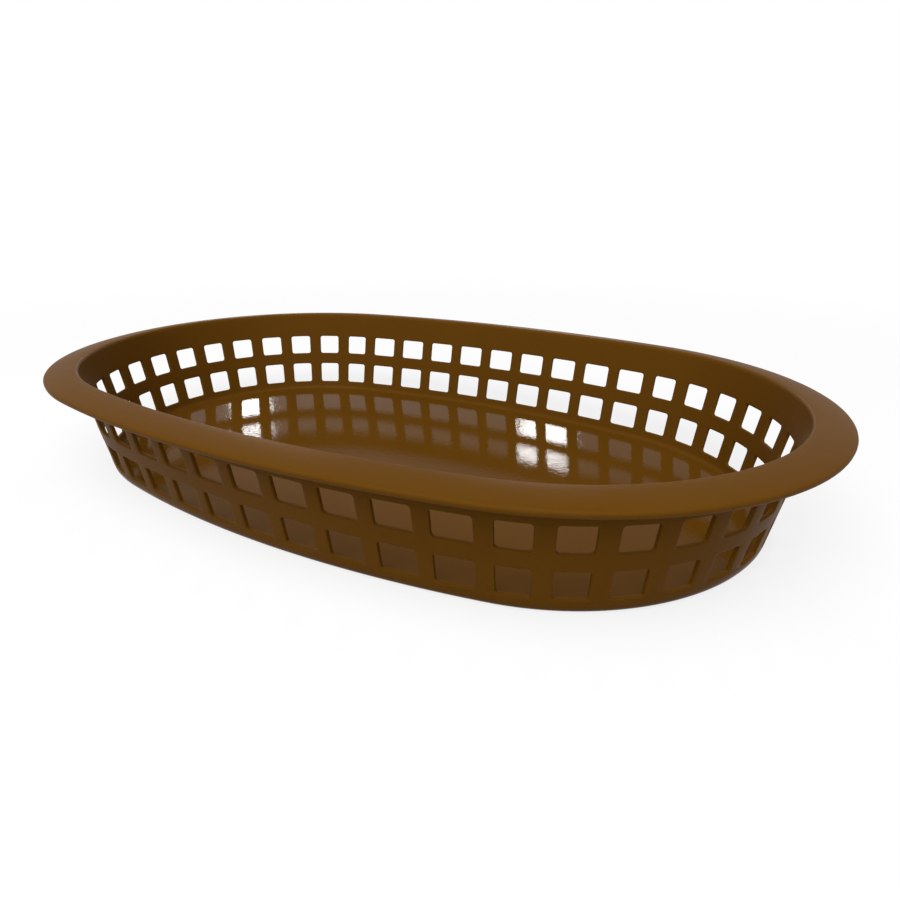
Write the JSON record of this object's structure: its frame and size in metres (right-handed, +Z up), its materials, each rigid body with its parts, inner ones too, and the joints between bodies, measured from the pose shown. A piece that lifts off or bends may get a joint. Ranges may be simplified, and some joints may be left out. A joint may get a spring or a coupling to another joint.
{
  "type": "oval fast food basket",
  "caption": "Oval moulded plastic serving basket with a solid floor, a leaning wall pierced by rows of square holes, and an outturned rim.",
  "frame": {"origin": "middle of the floor's underside, on the surface that the basket stands on", "axes": "+X along the basket's length, +Y across its width, +Z up out of its open top"},
  "size_m": [0.2668, 0.1744, 0.036],
  "materials": {
    "moulded_plastic": "semi-gloss brown injection-moulded polypropylene"
  },
  "bodies": {
    "root": {"basket": "moulded_plastic"}
  },
  "joints": []
}
